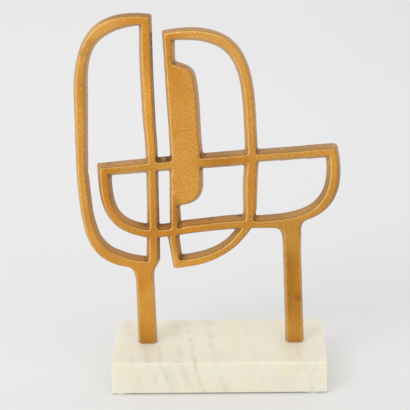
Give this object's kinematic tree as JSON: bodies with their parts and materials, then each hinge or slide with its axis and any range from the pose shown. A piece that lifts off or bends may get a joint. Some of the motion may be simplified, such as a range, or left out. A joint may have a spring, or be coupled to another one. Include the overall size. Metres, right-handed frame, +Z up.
{
  "type": "abstract metal sculpture",
  "caption": "Abstract openwork sculpture: golden bronze loops and a solid paddle cast in one plane, raised on slim stems over a cream marble plinth.",
  "frame": {"origin": "on the surface it stands on, under the middle of the whole work's box", "axes": "+Z up, -Y towards the viewer of the front, +X to that viewer's right along the plinth's long side"},
  "size_m": [0.2406, 0.093, 0.3507],
  "materials": {
    "golden_bronze": "satin",
    "cream_marble": "polished",
    "clear_rubber": "satin"
  },
  "bodies": {
    "root": {"bronze_casting": "golden_bronze", "marble_plinth": "cream_marble", "foot_pad_front_left": "clear_rubber", "foot_pad_front_right": "clear_rubber", "foot_pad_back_left": "clear_rubber", "foot_pad_back_right": "clear_rubber"}
  },
  "joints": []
}
